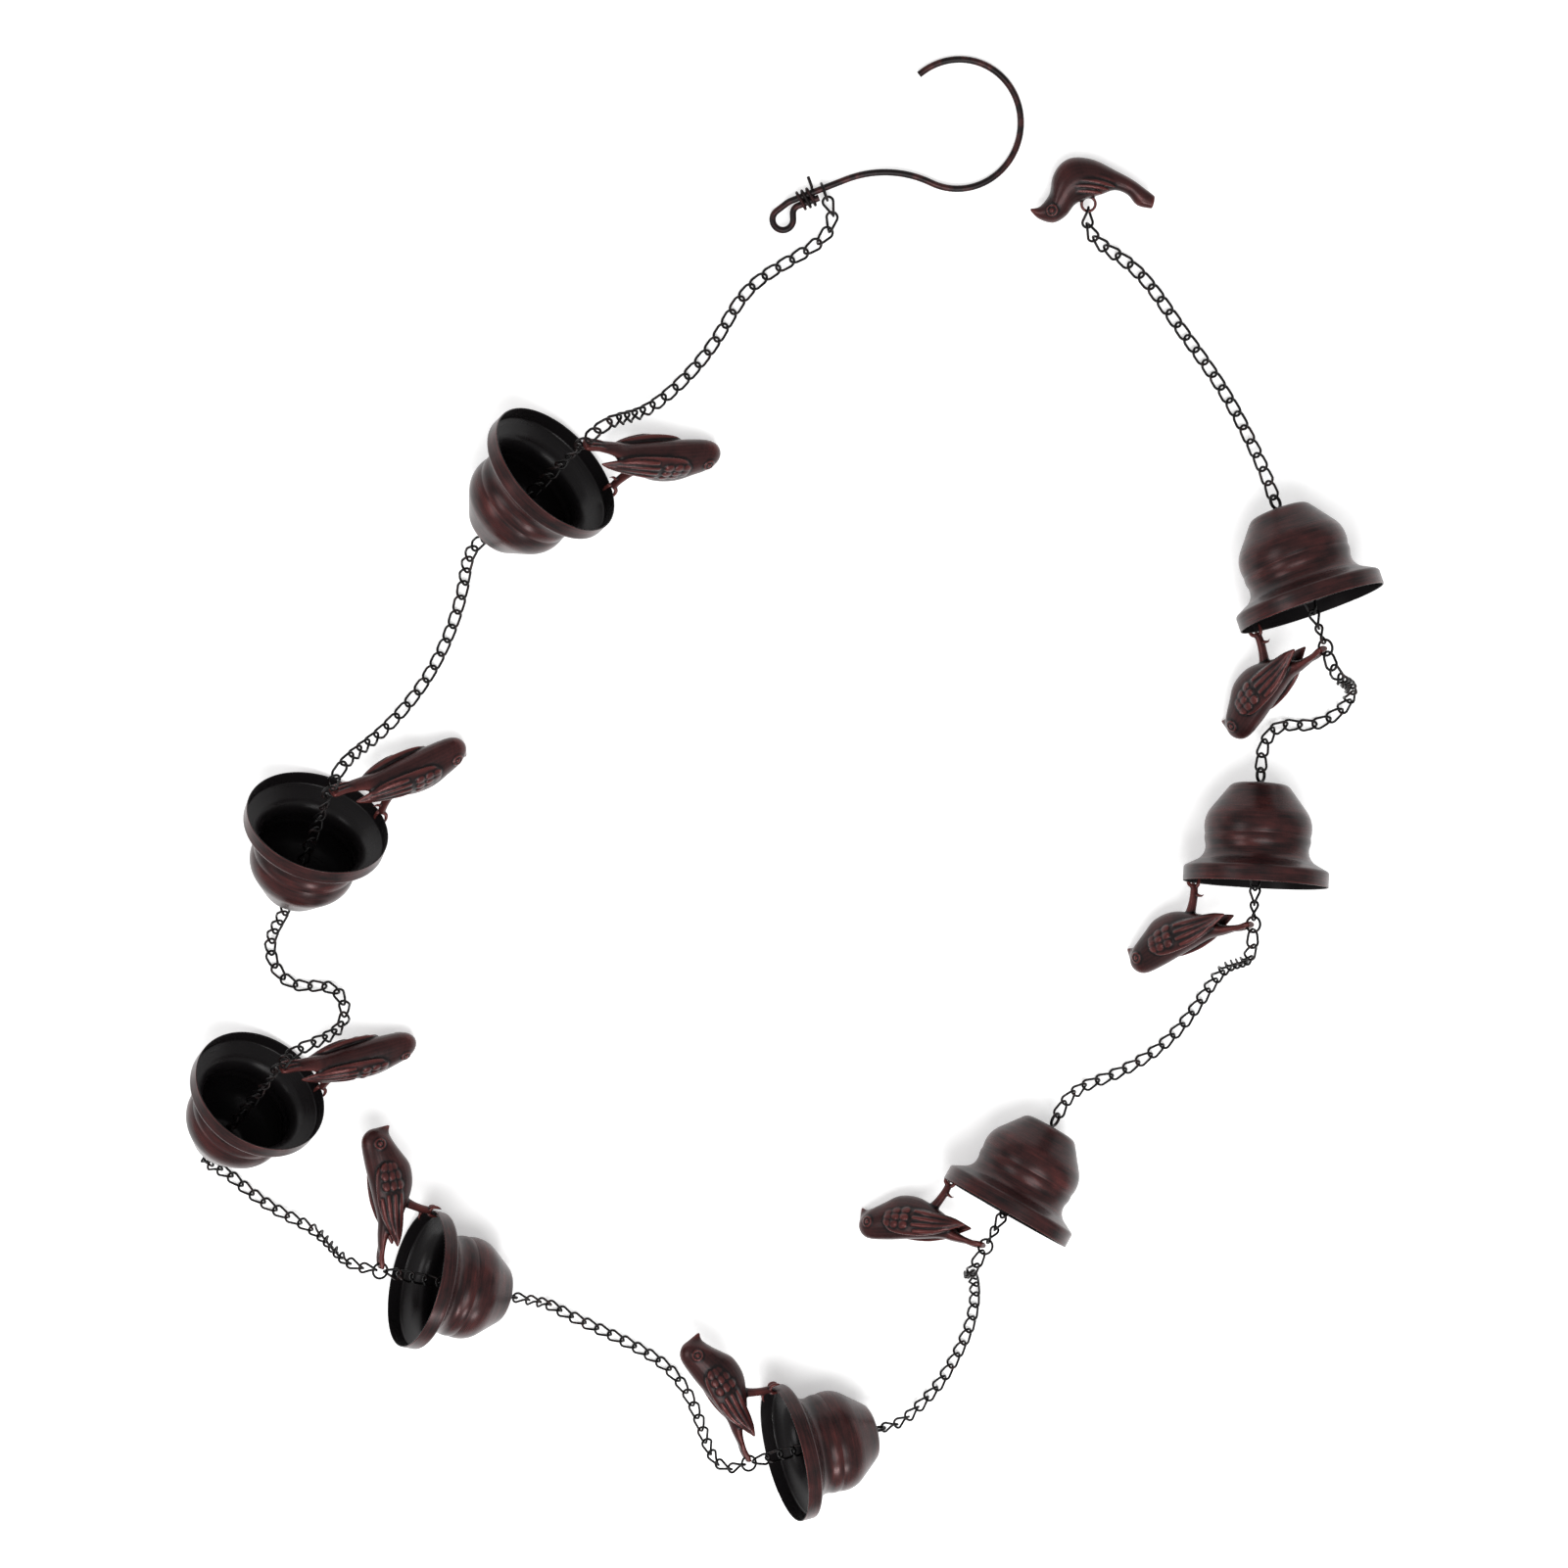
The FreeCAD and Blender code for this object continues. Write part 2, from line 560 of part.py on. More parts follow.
def lay_out(doc, size):
    """Makes every piece in its place on the floor. Returns them by name, with the points they turn on."""
    link = make_link(doc, size)
    cup, cup_height, cup_tilt, base_height = make_cup(doc, size)
    eye = make_eye(doc, size)
    bird = make_bird(doc, size)
    tail_ring = torus(doc, "tail_ring_form", "Sizes.tail_ring_radius", "Sizes.link_wire / 2", Placement())
    end_bird = make_end_bird(doc, size)
    hook = make_hook(doc, size)
    tie = make_tie(doc, size)
    hook_ring = torus(doc, "hook_ring_form", "Sizes.hook_ring_radius", "Sizes.link_wire / 2", Placement())
    doc.recompute()
    pieces = {}
    pivots = {}

    def place(name, form, frame):
        made = feature(doc, name, form.copy())
        made.Label = name
        made.Placement = frame.multiply(form.Placement)
        pieces[name] = made

    # The hook's ring stands on the floor round the shank, clear of the tie, and the bend lies on the floor
    x, y, heading = HOOK_PLACE
    beside = tie_half(size) + size.link_width / 2 + size.clearance
    far = hook.Shape.BoundBox.XMax - size.hook_wire / 2
    share = beside / far
    hook_height = size.hook_ring_radius + size.link_wire / 2 - share * size.hook_wire / 2
    hook_height /= 1 - share
    pitch = math.degrees(math.asin((hook_height - size.hook_wire / 2) / far))
    hook_frame = Placement(Vector(x, y, hook_height), Rotation(Z, heading).multiply(Rotation(Y, pitch)))
    place("hook", hook.Shape, hook_frame)
    place("hook_tie_wire", tie.Shape, hook_frame)
    inside = size.hook_ring_radius - size.link_wire / 2 - size.hook_wire / 2 - size.clearance
    ring_frame = hook_frame.multiply(Placement(Vector(beside, -inside, 0), Rotation(Z, X)))
    place("hook_ring", hook_ring.Shape, ring_frame)
    start_way = hook_frame.Rotation.multVec(-Y)
    start = ring_knot(ring_frame.Base, start_way, size.hook_ring_radius, size.link_wire, size)
    start_normal = hook_frame.Rotation.multVec(X)
    pivots["hook"] = start

    roll = rest_roll(size, cup_height, cup_tilt, base_height)
    floor = floor_height(link.Shape, 0)
    lead = size.link_inside
    for number, (x, y, heading, share) in enumerate(CUPS, 1):
        frame = cup_frame(x, y, heading, share * roll, cup_height, cup_tilt, base_height)
        axis = frame.Rotation.multVec(Z)
        rim = frame.multiply(Placement(Vector(0, 0, cup_height), Rotation()))
        ring = rim.multiply(Placement(Vector(0, 0, size.tail_ring_height), Rotation(Z, Y)))
        place(f"cup_{number}", cup.Shape, frame)
        place(f"bird_{number}", bird.Shape, rim)
        place(f"base_eye_{number}", eye.Shape, frame)
        place(f"tail_ring_{number}", tail_ring.Shape, ring)
        tail_normal = frame.Rotation.multVec(Y)
        eye_normal = frame.Rotation.multVec(X)
        eye_middle = size.clearance + size.eye_wire / 2 + size.eye_radius
        outer_eye = frame.multVec(Vector(0, 0, -eye_middle))
        inner_eye = frame.multVec(Vector(0, 0, size.cup_wall + eye_middle))
        above = ring_knot(ring.Base, axis, size.tail_ring_radius, size.link_wire, size)
        below = ring_knot(ring.Base, -axis, size.tail_ring_radius, size.link_wire, size)
        inner = ring_knot(inner_eye, axis, size.eye_radius, size.eye_wire, size)
        outer = ring_knot(outer_eye, -axis, size.eye_radius, size.eye_wire, size)
        route = [Vector(*(spot if len(spot) > 2 else (*spot, floor))) for spot in ROUTES[number - 1]]
        points = [start, start + start_way * lead, *route, above + axis * lead, above]
        run = chain(link.Shape, size, points, start_normal, tail_normal)
        place(f"chain_run_{number}", run, Placement())
        inside = chain(link.Shape, size, [inner, below], eye_normal, tail_normal)
        place(f"cup_chain_{number}", inside, Placement())
        pivots[f"tail_{number}"] = above
        pivots[f"base_{number}"] = outer
        start = outer
        start_way = -axis
        start_normal = eye_normal

    x, y = END_BIRD_PLACE
    end_frame = Placement(Vector(x, y, size.end_bird_width / 2 + size.clearance), Rotation())
    place("end_bird", end_bird.Shape, end_frame)
    loop = end_frame.multVec(Vector(0, size.loop_wire / 2 - size.loop_radius, 0))
    finish = ring_knot(loop, -Y, size.loop_radius, size.loop_wire, size)
    route = [Vector(*(spot if len(spot) > 2 else (*spot, floor))) for spot in ROUTES[-1]]
    points = [start, start + start_way * lead, *route, finish - Y * lead, finish]
    run = chain(link.Shape, size, points, start_normal, Z)
    place(f"chain_run_{len(CUPS) + 1}", run, Placement())
    pivots["end_bird"] = finish
    return pieces, pivots


def rest_roll(size, cup_height, cup_tilt, base_height):
    """How far a cup rolls towards its bird before the bird's head comes to the floor, in degrees."""
    body, _ = bird_sections(size)
    for degrees in range(60, 0, -1):
        frame = cup_frame(0, 0, 0, degrees, cup_height, cup_tilt, base_height)
        lows = []
        for middle, up, side in body:
            at = frame.multVec(middle + Z * cup_height).z
            tall = frame.Rotation.multVec(up).z
            wide = frame.Rotation.multVec(side).z
            lows.append(at - math.hypot(tall, wide))
        if min(lows) > size.clearance:
            return degrees
    return 0


def cup_frame(x, y, heading, roll, cup_height, cup_tilt, base_height):
    """A cup at rest: Z along its axis to the mouth, X towards its bird."""
    mouth = turned(X, Z, heading)
    axis = mouth * cosine(cup_tilt) + Z * sine(cup_tilt)
    right = mouth.cross(Z)
    towards = turned(right, axis, roll)
    if towards.z > 0:
        towards = turned(right, axis, -roll)
    base = Vector(x, y, base_height) - mouth * (cup_height * cosine(cup_tilt))
    return Placement(base, Rotation(towards, Vector(), axis, "ZXY"))


def main():
    doc = FreeCAD.newDocument("rain_chain")
    size = make_sheet(doc)
    pieces, pivots = lay_out(doc, size)
    doc.recompute()
    box = FreeCAD.BoundBox()
    for piece in pieces.values():
        box.add(piece.Shape.optimalBoundingBox(False, False))
    middle = Vector(box.Center.x, box.Center.y, 0)
    for piece in pieces.values():
        piece.Placement.Base = piece.Placement.Base - middle
    doc.recompute()
    for made in doc.Objects:
        if "Invalid" in made.State or "Error" in made.State:
            raise RuntimeError(f"{made.Label} is {made.State}")
    os.makedirs("parts", exist_ok=True)
    for name, piece in pieces.items():
        if piece.Shape.isNull() or not piece.Shape.isValid():
            raise RuntimeError(f"{name} has no valid shape")
        piece.Shape.exportStep(f"parts/{name}.step")
    for name, point in pivots.items():
        at = point - middle
        print(f"{name} turns at {at.x:.2f} {at.y:.2f} {at.z:.2f}")
    print(f"box {box.XLength:.1f} {box.YLength:.1f} {box.ZLength:.1f}, lowest {box.ZMin:.2f}")


main()
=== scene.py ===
# %% [markdown]
# # A rain chain with birds on its cups
#
# The chain lies on the floor in an open loop: a wire hook, eight spun cups with a cast bird on each rim,
# twisted links between them, and one more bird at the end. The solids bring the true shapes of the wire,
# the links and the cups. This lesson gives them their bronze coat, and casts the birds again with feathers.

# %% Load the frame
import bmesh
import bpy
import json
import math
from mathutils import Matrix, Vector

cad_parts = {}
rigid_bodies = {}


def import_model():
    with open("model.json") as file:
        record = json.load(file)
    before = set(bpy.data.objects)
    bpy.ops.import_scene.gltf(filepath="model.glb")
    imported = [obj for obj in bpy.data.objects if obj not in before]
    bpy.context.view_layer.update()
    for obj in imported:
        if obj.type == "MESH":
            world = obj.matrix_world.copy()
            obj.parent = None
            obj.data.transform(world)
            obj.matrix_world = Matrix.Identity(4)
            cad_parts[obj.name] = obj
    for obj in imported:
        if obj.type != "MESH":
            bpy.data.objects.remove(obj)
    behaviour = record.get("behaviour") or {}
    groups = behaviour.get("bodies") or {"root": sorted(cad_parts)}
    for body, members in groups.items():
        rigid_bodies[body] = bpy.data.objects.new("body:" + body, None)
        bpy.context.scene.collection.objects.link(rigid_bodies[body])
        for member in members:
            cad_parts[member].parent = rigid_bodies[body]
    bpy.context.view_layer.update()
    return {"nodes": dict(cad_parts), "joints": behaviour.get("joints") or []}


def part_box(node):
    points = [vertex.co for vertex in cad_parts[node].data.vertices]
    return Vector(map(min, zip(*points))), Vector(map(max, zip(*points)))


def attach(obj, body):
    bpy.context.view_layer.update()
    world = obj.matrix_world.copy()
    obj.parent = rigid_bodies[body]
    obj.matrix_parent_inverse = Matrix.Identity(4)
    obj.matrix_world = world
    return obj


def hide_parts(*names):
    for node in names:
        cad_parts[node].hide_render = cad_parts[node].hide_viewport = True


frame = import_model()
CUPS = range(1, 9)
X = Vector((1, 0, 0))
Y = Vector((0, 1, 0))
Z = Vector((0, 0, 1))

# %% [markdown]
# ## Where each cup lies
#
# A cup hangs between two joints on its own axis: the ring at its bird's tail and the eye under its base. The
# line through them is the axis, and the side that the bird is on gives the turn about it. These could be
# typed in, but measuring them from the frame keeps the new birds on their cups if the layout ever changes.

# %% Measure the cups
EYE_REACH = 0.00935
pivots = {frozenset((j["parent"], j["child"])): Vector(j["pos_m"]) for j in frame["joints"]}


def middle_of(node):
    """The middle of a node's surface, each face counted by its area."""
    faces = frame["nodes"][node].data.polygons
    whole = sum(face.area for face in faces)
    return sum((face.center * face.area for face in faces), Vector()) / whole


def cup_place(number):
    """A cup's own frame: the base at the origin, Z to the mouth, X to the bird."""
    tail = pivots[frozenset((f"run_{number}", f"cup_{number}"))]
    foot = pivots[frozenset((f"cup_{number}", f"run_{number + 1}"))]
    axis = (tail - foot).normalized()
    base = foot + axis * EYE_REACH
    aside = middle_of(f"bird_{number}") - base
    towards = (aside - axis * aside.dot(axis)).normalized()
    place = Matrix((towards, axis.cross(towards), axis)).transposed().to_4x4()
    place.translation = base
    return place


places = {number: cup_place(number) for number in CUPS}
rim_height = max((places[1].inverted() @ v.co).z for v in frame["nodes"]["cup_1"].data.vertices)
print("the rim is", round(rim_height * 1000, 2), "mm above the base")

# %% [markdown]
# ## Casting a body from ovals
#
# A small cast bird has no flat side to start from. A sphere could be pushed about until it looks right, but
# a row of ovals from the beak to the tail says the same thing in numbers. Each oval is a circle that is
# stretched by its matrix, and neighbours are bridged. A few rows are measured, and a smooth curve through
# them gives the rows between. Sizes here are in millimetres, and the whole bird is scaled once at the end.

# %% Ovals, bridges and smooth rows
def smooth_rows(rows, parts=4):
    """Adds rows between the measured ones, on a smooth curve through them."""
    padded = [rows[0], *rows, rows[-1]]
    made = []
    for a, b, c, d in zip(padded, padded[1:], padded[2:], padded[3:]):
        for part in range(parts):
            t = part / parts
            near = [(q - p) / 2 for p, q in zip(a, c)]
            far = [(q - p) / 2 for p, q in zip(b, d)]
            made.append([
                p + t * u + t * t * (3 * (q - p) - 2 * u - v) + t**3 * (2 * (p - q) + u + v)
                for p, q, u, v in zip(b, c, near, far)
            ])
    return made + [list(rows[-1])]


def oval(bm, middle, up, side, around):
    """A ring of edges from its middle and two half axes."""
    place = Matrix((up, side, up.cross(side).normalized())).transposed().to_4x4()
    place.translation = middle
    made = bmesh.ops.create_circle(bm, cap_ends=False, segments=around, radius=1, matrix=place)
    return list({edge for vert in made["verts"] for edge in vert.link_edges})


def loft(bm, sections, around=24):
    """A closed skin over a row of ovals."""
    rings = [oval(bm, *section, around) for section in sections]
    for first, second in zip(rings, rings[1:]):
        bmesh.ops.bridge_loops(bm, edges=first + second)
    bmesh.ops.holes_fill(bm, edges=rings[0] + rings[-1], sides=around)


def horn(bm, rows, around=12):
    """A round piece along a bent line of points, each with its radius: a leg, a toe or a claw."""
    spots = [(Vector(row[:3]), row[3]) for row in smooth_rows(rows)]
    sections = []
    for index, (at, radius) in enumerate(spots):
        before = spots[max(index - 1, 0)][0]
        after = spots[min(index + 1, len(spots) - 1)][0]
        way = (after - before).normalized()
        side = way.orthogonal().normalized()
        sections.append((at, side * radius, way.cross(side) * radius))
    loft(bm, sections, around)


# %% [markdown]
# ## The perched bird's body
#
# X runs out from the cup's axis to the beak, and Z up from the rim. Each row has a point on the back, a
# point on the belly and the width there, as a share. The tail is thin and flat, because a ring goes
# through it.

# %% Body and tail
RIM = 47.55
REACH = 51.6
LEG = 20
RISE = 43
BREADTH = 23
BODY = (
    (2.00, 0.635, 1.99, 0.605, 0.05),
    (1.935, 0.79, 1.89, 0.59, 0.29),
    (1.86, 0.945, 1.765, 0.44, 0.70),
    (1.70, 1.0, 1.67, 0.29, 0.87),
    (1.43, 0.86, 1.545, 0.115, 1.0),
    (1.175, 0.69, 1.31, 0.0, 1.0),
    (0.94, 0.54, 1.04, 0.0, 0.86),
    (0.70, 0.40, 0.75, 0.05, 0.66),
    (0.50, 0.345, 0.51, 0.175, 0.48),
    (0.25, 0.262, 0.25, 0.169, 0.39),
    (0.11, 0.215, 0.11, 0.122, 0.41),
    (0.032, 0.205, 0.032, 0.112, 0.37),
)


def over_cup(out, share):
    beyond = max(out - 1, 0) * REACH
    return Vector((min(out, 1) * RIM + beyond, 0, LEG + share * RISE))


def body_sections():
    for back_out, back, belly_out, belly, width in smooth_rows(BODY):
        top = over_cup(back_out, back)
        low = over_cup(belly_out, belly)
        yield (top + low) / 2, (top - low) / 2, Y * (width * BREADTH / 2)


bird = bmesh.new()
loft(bird, body_sections(), 32)
for aside in (-2.9, 0, 2.9):
    horn(bird, (
        (24, aside * 0.7, 31.6, 1.0),
        (12, aside, 30.4, 1.25),
        (5, aside * 1.15, 28.6, 1.1),
        (1.6, aside * 1.3, 27.4, 0.4),
    ))
print("the body has", len(bird.faces), "faces")

# %% [markdown]
# ## Wings and feathers
#
# A folded wing is one more row of ovals, standing a little proud of the body. On it the founder's pattern
# cut three short rows of round feathers, and four long ones that run to the wing's tip. They could be drawn
# as a bump in the coat, but they catch the light at the edge of the bird too, so they are real lumps here.
# Each is placed by how far along the wing and how far across it sits.

# %% A wing and its feathers
WING = (
    (1.56, 0.60, 0.04, 0.03, 0.40),
    (1.40, 0.54, 0.35, 0.12, 0.42),
    (1.10, 0.39, 0.43, 0.15, 0.42),
    (0.80, 0.24, 0.35, 0.13, 0.36),
    (0.57, 0.10, 0.19, 0.08, 0.30),
    (0.40, 0.02, 0.03, 0.025, 0.26),
)
WING_PARTS = 10


def wing_sections():
    for out, up, height, thick, aside in smooth_rows(WING, WING_PARTS):
        at = over_cup(out, up) + Y * (aside * BREADTH)
        stand = Vector((-0.35, 0, 1)) * (height * BREADTH / 1.1)
        yield at, stand, Y * (thick * BREADTH)


wing_rows = list(wing_sections())


def on_wing(along, across):
    """A place on the wing's outer face, and the way that the face looks there."""
    middle, stand, thick = wing_rows[round(along * WING_PARTS)]
    out = math.sqrt(max(1 - across * across, 0.05))
    looks = stand * (across / stand.length_squared) + thick * (out / thick.length_squared)
    return middle + stand * across + thick * out, looks.normalized()


def feather(bm, along, across, length, width, proud):
    """A short round feather, its free end lifted a little."""
    at, looks = on_wing(along, across)
    ahead = on_wing(along + 0.3, across)[0] - on_wing(along - 0.3, across)[0]
    ahead = (ahead - looks * ahead.dot(looks)).normalized()
    ahead = (ahead + looks * 0.14).normalized()
    looks = (looks - ahead * looks.dot(ahead)).normalized()
    turn = Matrix((ahead, looks.cross(ahead), looks)).transposed().to_4x4()
    size = Matrix.Diagonal((length / 2, width / 2, proud, 1))
    place = Matrix.Translation(at) @ turn @ size
    bmesh.ops.create_uvsphere(bm, u_segments=16, v_segments=10, radius=1, matrix=place)


def long_feather(bm, start, end, across, tip_across):
    """A slim feather along the wing, pointed at its free end."""
    spots = []
    for part in range(7):
        share = part / 6
        at, looks = on_wing(start + (end - start) * share, across + (tip_across - across) * share)
        spots.append((at + looks * 0.2, looks, (0.55, 0.95, 1.0, 0.95, 0.8, 0.6, 0.15)[part]))
    ahead = (spots[-1][0] - spots[0][0]).normalized()
    sections = []
    for at, looks, fullness in spots:
        flat = looks.cross(ahead).normalized()
        sections.append((at, looks * (0.95 * fullness), flat * (1.75 * fullness)))
    loft(bm, sections, 14)


wing = bmesh.new()
loft(wing, wing_rows)
for along in (0.8, 1.2, 1.6):
    for across in (-0.8, -0.24, 0.32):
        feather(wing, along, across, 7.6, 5.8, 1.15)
for start, end, across, tip_across in (
    (1.95, 4.9, -0.78, -0.3),
    (2.0, 4.6, -0.26, 0.0),
    (2.05, 4.2, 0.26, 0.35),
    (2.1, 3.8, 0.72, 0.75),
):
    long_feather(wing, start, end, across, tip_across)
print("a wing has", len(wing.faces), "faces")

# %% [markdown]
# ## Head, leg and foot
#
# The eye is a ball in a raised ring. One thick leg comes down to the rim, with two toes over the outside of
# the rim band, one inside, and a claw that stands off the leg. The leg keeps a hair's width from the cup.

# %% Eye, leg and toes
def eye(bm, at, looks, radius):
    """A ball in a raised ring, spun from one small circle."""
    place = Matrix.Translation(at) @ looks.to_track_quat("Z", "Y").to_matrix().to_4x4()
    lid = bmesh.ops.create_circle(
        bm, segments=8, radius=radius * 0.3,
        matrix=place @ Matrix.Translation(X * radius * 1.7) @ Matrix.Rotation(math.pi / 2, 4, "X"),
    )
    edges = list({edge for vert in lid["verts"] for edge in vert.link_edges})
    bmesh.ops.spin(
        bm, geom=lid["verts"] + edges, cent=at, axis=looks, angle=math.tau, steps=20, use_merge=True,
    )
    ball = Matrix.Translation(-looks * radius * 0.25) @ place
    bmesh.ops.create_uvsphere(bm, u_segments=14, v_segments=10, radius=radius, matrix=ball)


half = bmesh.new()
eye(half, Vector((85.4, 9.2, 52.8)), Vector((0.15, 1, 0.25)).normalized(), 1.9)
horn(half, (
    (RIM - 0.3, 0.9, 2.4, 1.6),
    (RIM + 2.5, 2.6, 1.1, 1.35),
    (RIM + 3.0, 3.6, -2.2, 1.15),
    (RIM + 2.4, 4.2, -5.0, 0.45),
))
horn(bird, (
    (RIM + 3.4, 0, 26, 4.4),
    (RIM + 1.2, 0, 17, 3.2),
    (RIM, 0, 9, 2.8),
    (RIM, 0, 3.1, 2.6),
))
horn(bird, (
    (RIM + 0.3, 0, 2.4, 1.7),
    (RIM - 2.7, 0, 1.4, 1.4),
    (RIM - 3.5, 0, -2.0, 1.1),
    (RIM - 3.2, 0, -5.2, 0.4),
))
horn(bird, (
    (RIM, 0, 6.6, 1.5),
    (RIM - 3.4, 0, 8.2, 1.15),
    (RIM - 6.2, 0, 8.6, 0.8),
    (RIM - 8.2, 0, 7.4, 0.3),
))

# %% [markdown]
# ## One skin
#
# The lumps still run through each other. A real casting has one skin with soft corners, so a voxel remesh
# wraps them all, and a little smoothing rounds it. A union of every lump would keep sharper seams than
# sand casting does. The tail's hole is cut last, so that its edge stays crisp.

# %% Helpers that join, wrap and place a casting
VOXEL = 0.00058
RELIEF_DEPTH = 0.00035


def join(target, part):
    """Puts one bmesh into another."""
    held = bpy.data.meshes.new("held")
    part.to_mesh(held)
    target.from_mesh(held)
    bpy.data.meshes.remove(held)
    part.free()


def both_sides(bm, axis):
    """Adds the half that is mirrored along an axis."""
    whole = bm.verts[:] + bm.edges[:] + bm.faces[:]
    bmesh.ops.mirror(bm, geom=whole, merge_dist=0, axis=axis)


def one_skin(bm, name):
    """Wraps every lump in one smooth skin, in metres."""
    bmesh.ops.recalc_face_normals(bm, faces=bm.faces[:])
    bmesh.ops.scale(bm, vec=(0.001, 0.001, 0.001), verts=bm.verts[:])
    mesh = bpy.data.meshes.new(name)
    bm.to_mesh(mesh)
    bm.free()
    made = bpy.data.objects.new(name, mesh)
    bpy.context.scene.collection.objects.link(made)
    wrap = made.modifiers.new("wrap", "REMESH")
    wrap.mode = "VOXEL"
    wrap.voxel_size = VOXEL
    soften = made.modifiers.new("soften", "SMOOTH")
    soften.factor = 0.5
    soften.iterations = 3
    return made


def finished(made):
    """The object's mesh with its modifiers in it. The object itself is taken away."""
    scene_now = bpy.context.evaluated_depsgraph_get()
    mesh = bpy.data.meshes.new_from_object(made.evaluated_get(scene_now))
    bpy.data.objects.remove(made)
    return mesh


# %% Wrap the perched bird and cut its tail
join(half, wing)
both_sides(half, "Y")
join(bird, half)
cast = one_skin(bird, "cast_bird")

HOLE_RADIUS = 0.0014
HOLE_AT = (0.0047, 0, 0.0268)
drill = bmesh.new()
bmesh.ops.create_cone(
    drill, cap_ends=True, segments=24, radius1=HOLE_RADIUS, radius2=HOLE_RADIUS, depth=0.02,
    matrix=Matrix.Translation(HOLE_AT),
)
bit = bpy.data.objects.new("tail_drill", bpy.data.meshes.new("tail_drill"))
drill.to_mesh(bit.data)
drill.free()
bpy.context.scene.collection.objects.link(bit)
cut = cast.modifiers.new("tail_hole", "BOOLEAN")
cut.operation = "DIFFERENCE"
cut.object = bit
bird_mesh = finished(cast)
bpy.data.objects.remove(bit)
print("a cast bird has", len(bird_mesh.polygons), "faces")

# %% [markdown]
# ## What rubs and what stays dark
#
# On the real bird the dark coat stays in the grooves and has been wiped off the raised feathers. The coat's
# nodes can't see a groove, so the mesh tells them: a smoothed copy lies above a groove and below a ridge,
# and the distance between the two is kept on each point as an attribute.

# %% Measure the ridges and grooves
def keep_relief(mesh):
    """Stores 0 in a groove, 0.5 on plain skin and 1 on a proud ridge. Shades the mesh smooth, too."""
    soft = bmesh.new()
    soft.from_mesh(mesh)
    for _ in range(14):
        bmesh.ops.smooth_vert(
            soft, verts=soft.verts[:], factor=0.5, use_axis_x=True, use_axis_y=True, use_axis_z=True,
        )
    soft.verts.ensure_lookup_table()
    relief = mesh.attributes.new("relief", "FLOAT", "POINT")
    for vert, sunk, held in zip(mesh.vertices, soft.verts, relief.data):
        proud = (vert.co - sunk.co).dot(vert.normal)
        held.value = min(max(0.5 + proud / RELIEF_DEPTH / 2, 0), 1)
    soft.free()
    for face in mesh.polygons:
        face.use_smooth = True


keep_relief(bird_mesh)

# %% Put a bird on every cup
birds = []
for number in CUPS:
    mesh = bird_mesh.copy()
    mesh.transform(places[number] @ Matrix.Translation(Z * rim_height))
    perched = bpy.data.objects.new(f"perched_bird_{number}", mesh)
    bpy.context.scene.collection.objects.link(perched)
    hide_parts(f"bird_{number}")
    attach(perched, f"cup_{number}")
    birds.append(perched)
bpy.data.meshes.remove(bird_mesh)
print(len(birds), "birds perched")

# %% [markdown]
# ## The bird at the end
#
# The last bird lies on its side and hangs from a loop cast on its back. Its outline is arched, with a cocked
# tail, and long wing grooves instead of round feathers. X is its length and Y its depth here, from the
# loop at the origin, and Z is across it.

# %% End bird
LENGTH = 79
DEPTH = 25.4
ACROSS = 22
LOOP_DROP = 0.00665
ARCHED = (
    (-0.47, -0.28, -0.465, -0.24, 0.06),
    (-0.40, -0.49, -0.39, -0.19, 0.34),
    (-0.28, -0.595, -0.315, 0.115, 0.72),
    (-0.18, -0.43, -0.295, 0.52, 0.90),
    (-0.11, -0.15, -0.235, 0.84, 1.0),
    (-0.02, 0.0, -0.13, 1.0, 1.0),
    (0.095, 0.09, 0.035, 0.94, 0.86),
    (0.205, 0.20, 0.205, 0.69, 0.62),
    (0.31, 0.09, 0.345, 0.465, 0.50),
    (0.39, -0.17, 0.455, 0.23, 0.46),
    (0.51, -0.25, 0.53, 0.06, 0.34),
)


def arched_sections():
    for back_x, back, breast_x, breast, width in smooth_rows(ARCHED):
        low = Vector((back_x * LENGTH, back * DEPTH, 0))
        high = Vector((breast_x * LENGTH, breast * DEPTH, 0))
        yield (low + high) / 2, (high - low) / 2, Z * (width * ACROSS / 2)


hanger = bmesh.new()
loft(hanger, arched_sections(), 32)
LOOP = Vector((0, -3.4, 0))
wire = bmesh.ops.create_circle(
    hanger, segments=14, radius=1,
    matrix=Matrix.Translation(LOOP + X * 4.4) @ Matrix.Rotation(math.pi / 2, 4, "X"),
)
wire_edges = list({edge for vert in wire["verts"] for edge in vert.link_edges})
bmesh.ops.spin(
    hanger, geom=wire["verts"] + wire_edges, cent=LOOP, axis=Z, angle=math.tau, steps=36, use_merge=True,
)

side = bmesh.new()
eye(side, Vector((-24.0, -6.8, 8.3)), Vector((-0.2, -0.1, 1)).normalized(), 1.9)
for lane, begin, end in ((0.8, -13, 20), (0.3, -15, 16), (-0.2, -15, 12), (-0.7, -13.5, 8)):
    rows = []
    for part in range(6):
        share = part / 5
        along = begin + (end - begin) * share
        drop = 9.5 + lane * 6.4 - 0.009 * along * along - 0.12 * along
        up = math.sqrt(max(1 - (lane * 0.62) ** 2, 0.1)) * (10.6 - 0.012 * max(along, 0) ** 2)
        rows.append((along, drop, up - 0.7, (0.7, 1.3, 1.45, 1.35, 1.1, 0.45)[part]))
    horn(side, rows)
both_sides(side, "Z")
join(hanger, side)
end_mesh = finished(one_skin(hanger, "cast_end_bird"))
keep_relief(end_mesh)
low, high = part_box("end_bird")
loop_spot = pivots[frozenset(("run_9", "end_bird"))]
lift = (low.z + high.z) / 2
